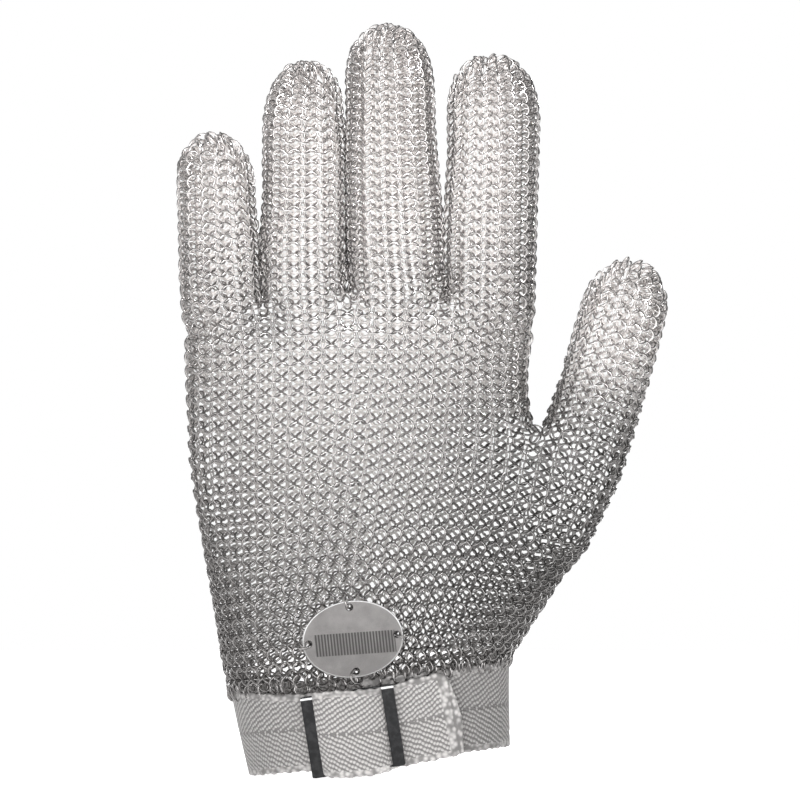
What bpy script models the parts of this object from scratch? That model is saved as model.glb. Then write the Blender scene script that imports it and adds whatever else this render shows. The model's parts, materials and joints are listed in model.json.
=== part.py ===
"""A five-finger chainmail glove, worn with the fingers pointing up.

The mail is a hollow wall: one hand tube, from the wrist to the finger roots, and
a closed stall for the thumb and for each finger. A webbing strap closes the wrist
through a flat steel slider, and an oval steel tag is linked to the mail above it.

Metres, +Z up the fingers, -Y the side with the tag and the slider. The origin is
the middle of the wrist opening. The tables are in millimetres.
"""

import math

import bmesh
import bpy
from mathutils import Matrix, Vector

MM = 0.001
GAP = 0.3  # clear space between pieces that touch

# ---- mail ------------------------------------------------------------------
MAIL_WALL = 2.4  # thickness of the linked mail, from inside to outside
SQUARENESS = 2.4  # of the hand and the wrist: 2 is an ellipse, more is boxier
STALL_SQUARENESS = 2.2
HAND_SIDES = 44
STALL_SIDES = 20
DOME_STEPS = 5
WEB_HEIGHT = 129.5  # the four finger stalls start just above the webs
SEAM_HEIGHT = 103.0  # the hand's two lengths meet here, above the root of the thumb
ROOT_HEIGHT = 108.0  # where the finger shapes start, sunk in the hand
ROOT_SUNK = 4.0  # how much thinner they are there than where they come out
ROOT_RISE = 10.0  # the height over which they grow out of the hand
FINGER_CURL = 5.0  # the tips lean back, away from the side with the tag

# Sections of the hand, bottom to top: height, little-finger edge, thumb edge, and
# how far the front and the back stand from the middle plane.
HAND_COLUMNS = ("height", "left", "right", "front", "back")
HAND_SECTIONS = [
    (4.0, -37.5, 33.2, 25.8, 25.8),
    (16.0, -39.2, 34.0, 26.4, 26.4),
    (21.0, -40.6, 34.4, 26.4, 26.6),
    (27.0, -42.2, 35.2, 26.0, 26.4),
    (36.0, -43.4, 40.0, 24.6, 25.6),
    (46.0, -45.2, 47.0, 22.8, 24.6),
    (57.0, -47.3, 53.0, 21.0, 23.2),
    (69.0, -49.6, 54.5, 19.4, 21.2),
    (80.0, -51.2, 49.0, 17.8, 19.0),
    (89.0, -51.5, 41.6, 16.4, 17.0),
    (97.0, -51.7, 39.6, 15.2, 15.6),
    (106.0, -51.8, 39.4, 13.8, 14.2),
    (113.0, -51.9, 40.9, 12.4, 12.8),
    (118.0, -50.6, 40.2, 10.4, 10.6),
    (122.5, -38.0, 35.0, 7.4, 7.4),
    (126.0, -23.0, 28.0, 4.4, 4.4),
]

# Fingers: middle of the root, of the shoulder below the dome and of the tip, height
# of the tip, half widths at the root and the shoulder, half depths there, and the
# dome's length.
FINGER_COLUMNS = (
    "root_x", "shoulder_x", "tip_x", "tip_height",
    "root_width", "shoulder_width", "root_depth", "shoulder_depth", "dome",
)
FINGERS = {
    "little": (-42.5, -43.3, -44.2, 166.4, 10.3, 10.5, 10.0, 8.8, 14.0),
    "ring": (-20.6, -20.4, -18.8, 185.4, 11.0, 10.9, 11.0, 9.6, 16.0),
    "middle": (3.9, 2.8, 1.8, 195.2, 12.3, 12.0, 11.4, 10.2, 16.5),
    "index": (28.9, 30.3, 29.3, 187.2, 12.2, 12.5, 11.2, 10.0, 16.0),
}

# The thumb's axis from inside the palm to the dome: place across and up, half width
# and half depth. It stands a little behind the middle plane of the hand.
THUMB_COLUMNS = ("x", "height", "width", "depth")
THUMB_SECTIONS = [
    (34.0, 44.0, 8.0, 12.0),
    (44.5, 61.0, 12.4, 16.5),
    (52.0, 78.0, 13.2, 15.2),
    (56.2, 89.5, 12.5, 13.2),
    (59.0, 98.5, 12.2, 12.2),
    (61.4, 107.0, 12.0, 11.6),
    (64.0, 116.5, 11.6, 10.8),
]
THUMB_ROOT = 4  # the row where the stall starts, clear of the hand's side
THUMB_BACK = 3.5
THUMB_DOME = 16.5

# ---- wrist strap, slider and tag ---------------------------------------------
STRAP_TILT = math.radians(6.5)  # the wrist opening rises towards the thumb
STRAP_HALF_WIDTH = 33.6
STRAP_HALF_DEPTH = 22.4
STRAP_FLARE = 0.10  # the band leans outwards towards the hand
STRAP_THICK = 1.2
STRAP_WIDTH = 22.4
THREADED_WIDTH = 20.2  # the webbing is gathered where it runs through the slider
LOOP_STEPS = 52

SLIDER_MIDDLE = -5.2  # across the front
SLIDER_BARS = 11.0  # from the middle bar to each side bar
BAR_WIDTH = 3.3
RAIL_WIDTH = 0.9
SLIDER_THICK = 1.2
SLIDER_LIFT = 3.5  # clears the two layers of webbing that curve up between its bars

# The strap from the point where it reaches the front again: place across the front,
# lift off the wrist, height of the upper edge and thickness.
THREAD_COLUMNS = ("across", "lift", "top", "thick")
THREAD = [
    (-30.5, 0.3, 22.2, 1.2),
    (-26.5, 0.9, 21.4, 1.2),
    (-20.7, 1.5, 20.4, 1.2),
    (-16.2, 1.5, 20.2, 1.2),
    (-13.6, 1.5, 20.2, 1.2),
    (-11.2, 2.2, 20.2, 1.2),
    (-8.8, 3.4, 20.2, 1.2),
    (-6.8, 4.2, 20.2, 1.2),
    (-5.0, 4.3, 20.2, 1.2),
    (-3.2, 4.3, 20.2, 1.2),
    (-1.2, 3.6, 20.2, 1.2),
    (1.0, 2.3, 20.2, 1.2),
    (3.4, 1.5, 20.2, 1.2),
    (6.0, 1.5, 20.2, 1.2),
    (9.0, 1.5, 20.4, 1.2),
    (12.0, 1.5, 21.0, 1.2),
    (15.4, 1.5, 21.4, 1.2),
    (16.0, 1.5, 21.4, 2.2),
    (21.0, 1.5, 21.0, 2.2),
    (21.6, 1.7, 20.9, 1.8),
]
STRAP_START = -3.2  # the end that lies under the slider

TAG_PLACE = (-6.9, -25.9, 32.5)
TAG_HALF_WIDTH = 13.4
TAG_HALF_HEIGHT = 10.2
TAG_THICK = 0.8
TAG_LEAN = math.radians(7.0)  # the mail under it leans back up the hand
TAG_TURN = math.radians(-3.0)
TAG_HOLE = 1.1
TAG_HOLE_INSET = 1.9
TAG_SIDES = 48
HOLE_SIDES = 12

STEEL_COLOUR = (0.66, 0.66, 0.67)
TAG_COLOUR = (0.50, 0.50, 0.51)
DARK_STEEL_COLOUR = (0.32, 0.32, 0.33)
WEBBING_COLOUR = (0.86, 0.85, 0.83)


def clear_scene():
    for obj in list(bpy.data.objects):
        bpy.data.objects.remove(obj)


def material(name, colour, roughness, metallic):
    made = bpy.data.materials.new(name)
    made.use_nodes = True
    shader = made.node_tree.nodes["Principled BSDF"]
    shader.inputs["Base Color"].default_value = (*colour, 1.0)
    shader.inputs["Roughness"].default_value = roughness
    shader.inputs["Metallic"].default_value = metallic
    return made


def table(columns, rows):
    return [dict(zip(columns, row)) for row in rows]


def new_object(name, mesh, finish=None):
    obj = bpy.data.objects.new(name, mesh)
    bpy.context.scene.collection.objects.link(obj)
    if finish:
        mesh.materials.append(finish)
    return obj


def helper(obj):
    """Hides a shape that only cuts or joins another."""
    obj.hide_render = True
    obj.display_type = "WIRE"
    return obj


def superellipse(angle, half_width, half_depth, squareness):
    """A point of a rounded box outline, from the angle that goes round it."""
    power = 2.0 / squareness
    across = math.copysign(abs(math.cos(angle)) ** power, math.cos(angle))
    along = math.copysign(abs(math.sin(angle)) ** power, math.sin(angle))
    return half_width * across, half_depth * along


def section(centre, across, width, front, back, squareness, sides):
    """Points round one section: width along across, depth along Y."""
    ring = []
    for k in range(sides):
        angle = 2.0 * math.pi * k / sides
        x, y = superellipse(angle, width, 1.0, squareness)
        depth = y * (back if y > 0.0 else front)
        ring.append(centre + across * x + Vector((0.0, depth, 0.0)))
    return ring


def skin(bm, rings, tip=None):
    """Joins rings of points into a tube, closed by a fan at the tip. Returns the first ring."""
    loops = [[bm.verts.new(p * MM) for p in ring] for ring in rings]
    for low, high in zip(loops, loops[1:]):
        for k in range(len(low)):
            n = (k + 1) % len(low)
            bm.faces.new((low[k], low[n], high[n], high[k]))
    if tip is not None:
        top = bm.verts.new(tip * MM)
        last = loops[-1]
        for k in range(len(last)):
            bm.faces.new((last[k], last[(k + 1) % len(last)], top))
    return loops[0]


def finish_mesh(bm, name, smooth=True):
    bmesh.ops.recalc_face_normals(bm, faces=bm.faces[:])
    mesh = bpy.data.meshes.new(name)
    bm.to_mesh(mesh)
    bm.free()
    if smooth:
        mesh.shade_smooth()
        mesh.set_sharp_from_angle(angle=math.radians(40.0))
    return mesh


def form_mesh(name, form):
    """A closed solid through a form's sections, with a flat foot."""
    bm = bmesh.new()
    rings, tip = form
    foot = skin(bm, rings, tip)
    bm.faces.new(list(reversed(foot)))
    return finish_mesh(bm, name)


def wall_mesh(name, outside, inside):
    """A hollow wall between two forms that are open at their first section."""
    bm = bmesh.new()
    outer = skin(bm, *outside)
    inner = skin(bm, *inside)
    for k in range(len(outer)):
        n = (k + 1) % len(outer)
        bm.faces.new((outer[k], outer[n], inner[n], inner[k]))
    return finish_mesh(bm, name)


def hand_form(inset):
    """The hand from below the strap's edge to the webs, as (rings, tip)."""
    rings = []
    for row in table(HAND_COLUMNS, HAND_SECTIONS):
        centre = Vector(((row["left"] + row["right"]) / 2.0, 0.0, row["height"]))
        width = (row["right"] - row["left"]) / 2.0 - inset
        front = max(row["front"] - inset, 1.0)
        back = max(row["back"] - inset, 1.0)
        if row["height"] > WEB_HEIGHT - 20.0:
            centre.z -= inset
        rings.append(
            section(centre, Vector((1, 0, 0)), width, front, back, SQUARENESS, HAND_SIDES)
        )
    last = sum(rings[-1], Vector()) / HAND_SIDES
    return rings, last + Vector((0.0, 0.0, 1.0))


def dome(centre, direction, across, width, depth, length, inset):
    """Rings and the tip of a round end. The inset shortens it as well as thins it."""
    rings = []
    reach = length - inset
    for step in range(DOME_STEPS):
        angle = 0.5 * math.pi * step / DOME_STEPS
        size = math.cos(angle)
        middle = centre + direction * (reach * math.sin(angle))
        wide, deep = (width - inset) * size, (depth - inset) * size
        rings.append(section(middle, across, wide, deep, deep, STALL_SQUARENESS, STALL_SIDES))
    return rings, centre + direction * reach


def finger_form(row, start, inset):
    """A finger from the height where it starts to its tip, as (rings, tip)."""
    shoulder = row["tip_height"] - row["dome"]

    def at(height):
        share = (height - ROOT_HEIGHT) / (shoulder - ROOT_HEIGHT)
        sunk = ROOT_SUNK * max(0.0, 1.0 - (height - ROOT_HEIGHT) / ROOT_RISE)
        x = row["root_x"] + (row["shoulder_x"] - row["root_x"]) * share
        width = row["root_width"] + (row["shoulder_width"] - row["root_width"]) * share
        depth = row["root_depth"] + (row["shoulder_depth"] - row["root_depth"]) * share
        centre = Vector((x, FINGER_CURL * 0.6 * share * share, height))
        return centre, width - sunk, depth - sunk

    heights = [start + (shoulder - start) * k / 4.0 for k in range(4)]
    if start < WEB_HEIGHT:
        over = [WEB_HEIGHT + (shoulder - WEB_HEIGHT) * k / 4.0 for k in range(4)]
        heights = [start, start + ROOT_RISE] + over
    across = Vector((1, 0, 0))
    rings = []
    for height in heights:
        centre, width, depth = at(height)
        wide, deep = width - inset, depth - inset
        rings.append(section(centre, across, wide, deep, deep, STALL_SQUARENESS, STALL_SIDES))
    centre, width, depth = at(shoulder)
    tip = Vector((row["tip_x"], FINGER_CURL, row["tip_height"]))
    up = (tip - centre).normalized()
    round_end, top = dome(centre, up, across, width, depth, (tip - centre).length, inset)
    return rings + round_end, top


def thumb_axis():
    """Middle point and direction of each thumb section."""
    rows = table(THUMB_COLUMNS, THUMB_SECTIONS)
    points = [Vector((r["x"], THUMB_BACK, r["height"])) for r in rows]
    axis = []
    for k, point in enumerate(points):
        before = points[max(k - 1, 0)]
        after = points[min(k + 1, len(points) - 1)]
        axis.append((point, (after - before).normalized(), rows[k]))
    return axis


def thumb_form(first, inset):
    """The thumb from one of its sections to its tip, as (rings, tip)."""
    rings = []
    axis = thumb_axis()
    for point, direction, row in axis[first:-1]:
        across = Vector((direction.z, 0.0, -direction.x))
        wide, deep = row["width"] - inset, row["depth"] - inset
        rings.append(section(point, across, wide, deep, deep, STALL_SQUARENESS, STALL_SIDES))
    point, direction, row = axis[-1]
    across = Vector((direction.z, 0.0, -direction.x))
    round_end, tip = dome(
        point, direction, across, row["width"], row["depth"], THUMB_DOME, inset
    )
    return rings + round_end, tip


def slab_mesh(name, low, high):
    """A plain box between two corners, for cutting."""
    bm = bmesh.new()
    bmesh.ops.create_cube(bm, size=1.0)
    size = [(h - l) * MM for l, h in zip(low, high)]
    middle = Vector([(h + l) / 2.0 * MM for l, h in zip(low, high)])
    bmesh.ops.transform(
        bm, matrix=Matrix.Translation(middle) @ Matrix.Diagonal((*size, 1.0)), verts=bm.verts[:]
    )
    return finish_mesh(bm, name, smooth=False)


def boolean(obj, kind, other):
    step = obj.modifiers.new(f"{kind.lower()} {other.name}", "BOOLEAN")
    step.operation = kind
    step.solver = "EXACT"
    step.object = other


def make_mail_hand(steel):
    """The hand tube, hollow, with a hole under each stall and a slanting lower edge.

    It is made in two lengths that meet at a level seam below the knuckles.
    """
    rows = {name: dict(zip(FINGER_COLUMNS, row)) for name, row in FINGERS.items()}
    steps = []
    outside = {n: finger_form(r, ROOT_HEIGHT, 0.0) for n, r in rows.items()}
    outside["thumb"] = thumb_form(0, 0.0)
    for name, form in outside.items():
        steps.append(("UNION", helper(new_object(f"{name}_form", form_mesh(name, form)))))

    hollows = {n: finger_form(r, ROOT_HEIGHT, MAIL_WALL) for n, r in rows.items()}
    hollows["thumb"] = thumb_form(0, MAIL_WALL)
    hollows["hand"] = hand_form(MAIL_WALL)
    for name, form in hollows.items():
        steps.append(("DIFFERENCE", helper(new_object(f"{name}_hollow", form_mesh(name, form)))))

    point, direction, _ = thumb_axis()[THUMB_ROOT]
    lean = math.atan2(direction.x, direction.z)
    top = STRAP_WIDTH + GAP
    slabs = {  # name: low corner, high corner, place, turn about Y
        "above_webs": ((-80, -40, WEB_HEIGHT), (50, 40, 210), Vector(), 0.0),
        "beyond_thumb_root": ((-16, -30, 0), (30, 30, 60), point, lean),
        "below_strap_edge": ((-60, -40, -40), (60, 40, top), Vector(), -STRAP_TILT),
        "above_seam": ((-80, -40, SEAM_HEIGHT), (90, 40, 210), Vector(), 0.0),
        "below_seam": ((-80, -40, -40), (90, 40, SEAM_HEIGHT + GAP), Vector(), 0.0),
    }
    cutters = {}
    for name, (low, high, place, turn) in slabs.items():
        cutters[name] = helper(new_object(name, slab_mesh(name, low, high)))
        cutters[name].location = place * MM
        cutters[name].rotation_euler = (0.0, turn, 0.0)
    ends = {
        "mail_hand": ("beyond_thumb_root", "below_strap_edge", "above_seam"),
        "mail_knuckles": ("above_webs", "beyond_thumb_root", "below_seam"),
    }
    for name, cuts in ends.items():
        length = new_object(name, form_mesh(name, hand_form(0.0)), steel)
        for kind, shape in steps:
            boolean(length, kind, shape)
        for cut in cuts:
            boolean(length, "DIFFERENCE", cutters[cut])


def make_stalls(steel):
    """A closed mail tube for each finger and for the thumb."""
    for name, values in FINGERS.items():
        row = dict(zip(FINGER_COLUMNS, values))
        start = WEB_HEIGHT + GAP
        wall = wall_mesh(name, finger_form(row, start, 0.0), finger_form(row, start, MAIL_WALL))
        new_object(f"mail_{name}", wall, steel)
    wall = wall_mesh("thumb", thumb_form(THUMB_ROOT, 0.0), thumb_form(THUMB_ROOT, MAIL_WALL))
    thumb = new_object("mail_thumb", wall, steel)
    thumb.location = thumb_axis()[THUMB_ROOT][1] * (GAP * MM)


def wrist_point(angle, lift, height):
    """A point on the strap's loop, in the wrist's own frame, with -Y the front."""
    grow = lift + STRAP_FLARE * height
    x, y = superellipse(
        angle, STRAP_HALF_WIDTH + grow, STRAP_HALF_DEPTH + grow, SQUARENESS
    )
    return Vector((x, y, height))


def front_angle(across):
    """The loop angle at a place across the front."""
    share = math.copysign(abs(across / STRAP_HALF_WIDTH) ** (SQUARENESS / 2.0), across)
    return -math.acos(share)


def strap_stations():
    """Every section of the webbing, from its hidden end round the wrist to its free end."""
    first = front_angle(STRAP_START)
    last = front_angle(THREAD[0][0]) + 2.0 * math.pi
    stations = []
    for step in range(LOOP_STEPS):
        angle = first + (last - first) * step / LOOP_STEPS
        stations.append((angle, 0.0, STRAP_WIDTH, STRAP_THICK))
    for row in table(THREAD_COLUMNS, THREAD):
        stations.append((front_angle(row["across"]), row["lift"], row["top"], row["thick"]))
    return stations


def make_strap(wrist, webbing):
    bm = bmesh.new()
    loops = []
    for angle, lift, top, thick in strap_stations():
        corners = ((lift, 0.0), (lift, top), (lift + thick, top), (lift + thick, 0.0))
        loops.append([bm.verts.new(wrist_point(angle, out, up) * MM) for out, up in corners])
    for low, high in zip(loops, loops[1:]):
        for k in range(4):
            n = (k + 1) % 4
            bm.faces.new((low[k], low[n], high[n], high[k]))
    bm.faces.new(list(reversed(loops[0])))
    bm.faces.new(loops[-1])
    strap = new_object("wrist_strap", finish_mesh(bm, "wrist_strap"), webbing)
    strap.parent = wrist


def slider_frame():
    """Where the slider's middle is, and how it is turned to lie on the wound webbing."""
    up = THREADED_WIDTH / 2.0
    left = wrist_point(front_angle(SLIDER_MIDDLE - SLIDER_BARS), SLIDER_LIFT, up)
    right = wrist_point(front_angle(SLIDER_MIDDLE + SLIDER_BARS), SLIDER_LIFT, up)
    turn = math.atan2(right.y - left.y, right.x - left.x)
    lean = math.atan(STRAP_FLARE)
    return (left + right) / 2.0, turn, lean


def make_slider(wrist, steel):
    """A flat frame with a middle bar, cut from one plate."""
    half = SLIDER_BARS + BAR_WIDTH / 2.0
    tall = THREADED_WIDTH / 2.0 + GAP + RAIL_WIDTH
    slider = new_object(
        "strap_slider", slab_mesh("slider", (-half, -SLIDER_THICK, -tall), (half, 0.0, tall)), steel
    )
    slot_high = THREADED_WIDTH / 2.0 + GAP
    slot_in, slot_out = BAR_WIDTH / 2.0, SLIDER_BARS - BAR_WIDTH / 2.0
    place, turn, lean = slider_frame()
    for side, (low, high) in {"left": (-slot_out, -slot_in), "right": (slot_in, slot_out)}.items():
        slot = helper(
            new_object(f"{side}_slot", slab_mesh(side, (low, -5.0, -slot_high), (high, 5.0, slot_high)))
        )
        slot.parent = slider
        boolean(slider, "DIFFERENCE", slot)
    slider.location = place * MM
    slider.rotation_euler = (lean, 0.0, turn)
    slider.parent = wrist


def make_tag(steel):
    """An oval plate with four link holes near its rim."""
    bm = bmesh.new()
    rim = []
    for k in range(TAG_SIDES):
        x, z = superellipse(2.0 * math.pi * k / TAG_SIDES, TAG_HALF_WIDTH, TAG_HALF_HEIGHT, 2.0)
        rim.append(bm.verts.new(Vector((x, 0.0, z)) * MM))
    face = bm.faces.new(rim)
    pushed = bmesh.ops.extrude_face_region(bm, geom=[face])["geom"]
    moved = [v for v in pushed if isinstance(v, bmesh.types.BMVert)]
    bmesh.ops.translate(bm, verts=moved, vec=(0.0, -TAG_THICK * MM, 0.0))
    tag = new_object("tag_plate", finish_mesh(bm, "tag_plate"), steel)
    out_x, out_z = TAG_HALF_WIDTH - TAG_HOLE_INSET, TAG_HALF_HEIGHT - TAG_HOLE_INSET
    for k, (x, z) in enumerate(((out_x, 0.0), (0.0, out_z), (-out_x, 0.0), (0.0, -out_z))):
        bm = bmesh.new()
        bmesh.ops.create_cone(
            bm, cap_ends=True, segments=HOLE_SIDES, radius1=TAG_HOLE * MM, radius2=TAG_HOLE * MM,
            depth=4.0 * MM, matrix=Matrix.Rotation(math.radians(90.0), 4, "X"),
        )
        drill = helper(new_object(f"link_hole_{k}", finish_mesh(bm, "drill")))
        drill.location = Vector((x, 0.0, z)) * MM
        drill.parent = tag
        boolean(tag, "DIFFERENCE", drill)
    tag.location = Vector(TAG_PLACE) * MM
    tag.rotation_euler = (-TAG_LEAN, -STRAP_TILT, TAG_TURN)


def main():
    clear_scene()
    steel = material("mail_steel", STEEL_COLOUR, 0.3, 1.0)
    dark = material("slider_steel", DARK_STEEL_COLOUR, 0.25, 1.0)
    satin = material("tag_steel", TAG_COLOUR, 0.4, 1.0)
    webbing = material("white_webbing", WEBBING_COLOUR, 0.85, 0.0)
    make_mail_hand(steel)
    make_stalls(steel)
    wrist = new_object("wrist", None)
    wrist.rotation_euler = (0.0, -STRAP_TILT, 0.0)
    make_strap(wrist, webbing)
    make_slider(wrist, dark)
    make_tag(satin)


main()
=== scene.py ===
"""A chainmail work glove: link mail on a webbing wrist strap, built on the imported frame."""

import json
import math
import random

import bmesh
import bpy
import numpy as np
from bpy.props import FloatProperty, FloatVectorProperty, IntProperty, PointerProperty
from mathutils import Matrix, Vector
from mathutils.bvhtree import BVHTree

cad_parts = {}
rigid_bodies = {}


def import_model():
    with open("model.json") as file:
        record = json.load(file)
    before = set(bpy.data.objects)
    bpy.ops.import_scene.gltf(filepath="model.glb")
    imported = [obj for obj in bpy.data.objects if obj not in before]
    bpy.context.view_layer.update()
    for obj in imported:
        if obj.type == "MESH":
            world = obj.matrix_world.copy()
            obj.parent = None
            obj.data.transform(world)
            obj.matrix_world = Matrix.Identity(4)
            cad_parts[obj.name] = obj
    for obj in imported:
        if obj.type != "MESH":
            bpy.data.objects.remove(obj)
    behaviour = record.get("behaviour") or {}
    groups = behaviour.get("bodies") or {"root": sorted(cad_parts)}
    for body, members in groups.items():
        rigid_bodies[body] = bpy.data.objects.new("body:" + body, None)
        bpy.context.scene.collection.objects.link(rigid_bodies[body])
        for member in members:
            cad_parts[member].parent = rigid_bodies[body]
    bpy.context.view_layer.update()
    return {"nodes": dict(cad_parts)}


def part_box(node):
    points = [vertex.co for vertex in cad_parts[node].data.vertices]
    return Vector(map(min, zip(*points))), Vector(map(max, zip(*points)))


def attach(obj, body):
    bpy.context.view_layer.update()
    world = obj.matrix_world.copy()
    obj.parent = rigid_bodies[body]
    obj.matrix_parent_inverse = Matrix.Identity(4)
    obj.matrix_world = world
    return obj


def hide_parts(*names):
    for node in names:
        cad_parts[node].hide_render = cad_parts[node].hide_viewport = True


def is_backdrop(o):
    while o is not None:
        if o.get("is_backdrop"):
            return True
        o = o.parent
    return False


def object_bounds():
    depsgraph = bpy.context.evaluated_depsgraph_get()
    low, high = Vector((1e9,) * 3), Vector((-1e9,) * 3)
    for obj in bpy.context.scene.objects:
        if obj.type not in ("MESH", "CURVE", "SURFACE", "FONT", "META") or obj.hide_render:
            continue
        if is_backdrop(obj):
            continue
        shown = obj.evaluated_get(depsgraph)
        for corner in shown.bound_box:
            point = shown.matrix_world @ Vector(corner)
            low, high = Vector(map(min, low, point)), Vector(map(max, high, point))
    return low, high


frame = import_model()

bl_info = {
    "name": "Chainmail glove",
    "version": (1, 0, 0),
    "blender": (4, 5, 0),
    "location": "View3D > Sidebar > Glove",
    "description": "Builds a chainmail work glove with its wrist strap, slider and tag",
    "category": "Object",
}

MM = 0.001
MAIL_WALL = 2.4 * MM

# ---- the net that the links hang on ----
# The mail is a net of quads folded into tubes. A link sits at every corner of a quad and
# another at its middle. Columns run across the front, rows run up from the strap.
TUBE_COLUMNS = ("name", "first", "last", "foot", "top", "parent")
TUBES = (
    ("hand", 0, 28, 0, 15, None),
    ("palm", 0, 22, 15, 24, "hand"),
    ("thumb", 22, 28, 15, 28, "hand"),
    ("little", 0, 5, 24, 37, "palm"),
    ("ring", 5, 10, 24, 44, "palm"),
    ("middle", 10, 16, 24, 48, "palm"),
    ("index", 16, 22, 24, 44, "palm"),
    ("thumb_tip", 23, 27, 28, 30, "thumb"),
    ("little_tip", 1, 4, 37, 39, "little"),
    ("ring_tip", 6, 9, 44, 46, "ring"),
    ("middle_tip", 11, 15, 48, 50, "middle"),
    ("index_tip", 17, 21, 44, 46, "index"),
)
# Where one finger leans on the next it is wider. Columns: the stall, its side, the height where
# it is fully wider, the height where it no longer is, and by how much, in millimetres.
SWELLINGS = (
    ("little", 1, 136.0, 148.0, 1.5), ("ring", -1, 136.0, 148.0, 1.2),
    ("ring", 1, 160.0, 172.0, 1.7), ("middle", -1, 160.0, 172.0, 0.7),
    ("middle", 1, 142.0, 168.0, 2.0), ("index", -1, 140.0, 160.0, 1.0),
)
CREST = -5.0 * MM  # the rows are highest here and fall away to both sides
LEFT_FALL = 2.7  # per metre, by the square of the distance from the crest
RIGHT_FALL = 1.9
HAND_FOOT = 24.0 * MM
THUMB_CROTCH = 87.0 * MM
FINGER_FORKS = 124.0 * MM
HAND_MIDDLES = {"hand": 2.0 * MM, "palm": -5.0 * MM}
HAND_HALF_WIDTH = 42.0 * MM
HAND_REACH = 90.0 * MM
THUMB_FOOT = (54.5, 3.5, 80.0)
THUMB_LENGTH = 53.0 * MM
THUMB_REACH = 11.0 * MM
THUMB_LEAN = math.radians(15.5)
STALL_MARGIN = 1.5 * MM
TIP_CROWDING = 0.10
MIDDLE_CROWDING = 0.018
SECTION_POINTS = 180
CROTCH_RISE = 1.0 * MM
TIP_RISE = 2.0 * MM

# ---- how the net is drawn tight ----
ROW_REST = 2.6 * MM
CLIMB_REST = 2.2 * MM
BACK_RISE = 0.5  # of a row: the back's links stand this much higher than the front's
BACK_HOLD = (0.4, 0.0, 0.4)
EASE = 0.9
RELAX_ROUNDS = 60
RELAX_STEPS = 4
WALL_REACH = 3.0 * MM
GRAZING = 0.3
TIGHT_ROW = 4.2 * MM  # the odd links lean more where rows are closer than this
TIGHT_LEAN = math.radians(14.0)  # more for each millimetre closer
TIGHTEST = 1.4
SMALLEST_QUAD = 5.6 * MM * MM  # a quad smaller than this has no room for an odd link
STEEPEST = 0.55  # nor has a round tip, where the way out points up more than this
NARROWEST = 0.6
SIDE_LEAN = 0.55

# ---- the strap's route, in millimetres ----
STRAP_TILT = math.radians(6.5)
STRAP_HALF_WIDTH = 33.6
STRAP_HALF_DEPTH = 22.4
STRAP_FLARE = 0.10
STRAP_THICK = 1.2
STRAP_WIDTH = 22.4
THREADED_WIDTH = 20.2
SQUARENESS = 2.4
STRAP_START = -3.2
# The webbing at the front. Columns: across, lift off the loop, lower edge, upper edge, thickness.
THREAD = (
    (-30.5, 0.3, 0.0, 22.2, 1.2), (-26.5, 0.9, 0.0, 21.6, 1.2), (-20.7, 1.5, 0.0, 20.6, 1.2),
    (-16.2, 1.5, -0.2, 20.3, 1.2), (-14.4, 2.0, -0.8, 20.2, 1.2), (-13.0, 3.4, -1.7, 20.3, 1.2),
    (-11.4, 4.3, -2.5, 20.4, 1.2), (-8.8, 4.4, -2.8, 20.3, 1.2), (-6.8, 4.4, -2.9, 20.2, 1.2),
    (-5.0, 4.4, -3.0, 20.0, 1.2), (-3.2, 4.4, -3.0, 19.8, 1.2), (-1.2, 4.2, -3.0, 19.7, 1.2),
    (1.0, 3.6, -2.8, 19.7, 1.2), (2.6, 2.4, -2.2, 19.8, 1.2), (3.9, 1.5, -1.8, 19.9, 1.2),
    (6.0, 1.5, -1.7, 20.2, 1.2), (9.0, 1.7, -1.3, 20.9, 1.2), (12.0, 1.9, -1.1, 21.3, 1.2),
    (15.0, 2.0, -0.9, 21.7, 1.2), (15.8, 2.0, -0.8, 21.8, 1.7), (17.0, 2.0, -0.7, 21.8, 1.7),
    (18.0, 2.0, -0.6, 20.6, 1.7), (18.8, 2.0, -0.5, 17.6, 1.7), (19.5, 2.0, -0.3, 13.6, 1.7),
    (20.2, 2.0, 0.0, 9.0, 1.5), (20.7, 2.0, 0.5, 5.0, 1.2),
)
LOOP_STEPS = 52
FIRST_ROW = (0.7, STRAP_WIDTH + 1.3)  # the net's lift off the strap's loop and height on it
RUN_STEP = 0.62
RIM_SHARES = (0.0, 0.008, 0.022, 0.045)  # of the width: points crowd together at the edges
FLAT_SHARES = (0.07, 0.93)
FLAT_STEPS = 31
EDGE_ROUND = 0.55
END_ROUND = 0.5
THIN_END = 0.1414
RUN_SAMPLES = 4000
RUN_HEIGHT = 10.0  # where the webbing's length is measured
EASINGS = (1.3, 1.3, 1.3, 0.5)  # of the lift, lower edge, upper edge and thickness
# Waves along the webbing. Columns: how far, pace along it, and start, or lean across it.
LOWER_WAVES = ((1.0, 2.35, 0.0), (0.6, 1.07, 1.0))
UPPER_WAVES = ((1.0, 2.2, 2.0), (0.6, 0.93, 0.0))
RIPPLES = ((0.06, 0.41, 5.0), (0.05, 0.23, -3.0))

SLIDER_MIDDLE = -5.2
SLIDER_BARS = 10.75
BAR_WIDTH = 3.3
RAIL_WIDTH = 0.5
RAIL_SLOPE = 0.25
RAIL_DROP = 0.6
SLIDER_DROP = 0.9
SLIDER_TURN = math.radians(2.0)
SLIDER_THICK = 1.2
SLIDER_LIFT = 3.5
SLOT_GAP = 0.3

TAG_PLACE = (-6.9, -25.9, 32.5)
TAG_HALF_WIDTH = 13.4
TAG_HALF_HEIGHT = 10.2
TAG_THICK = 0.8
TAG_LEAN = math.radians(7.0)
TAG_TURN = math.radians(-3.0)
TAG_HOLE = 0.85
TAG_HOLE_INSET = 1.7
TAG_LINK_SWINGS = (35.0, -30.0, -40.0, 55.0)

EDGE_LINKS = 104
EDGE_LIFT = 0.6
EDGE_SWING = (20.0, 52.0)
EDGE_SHIFT = (-0.5, 1.7)

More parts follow.
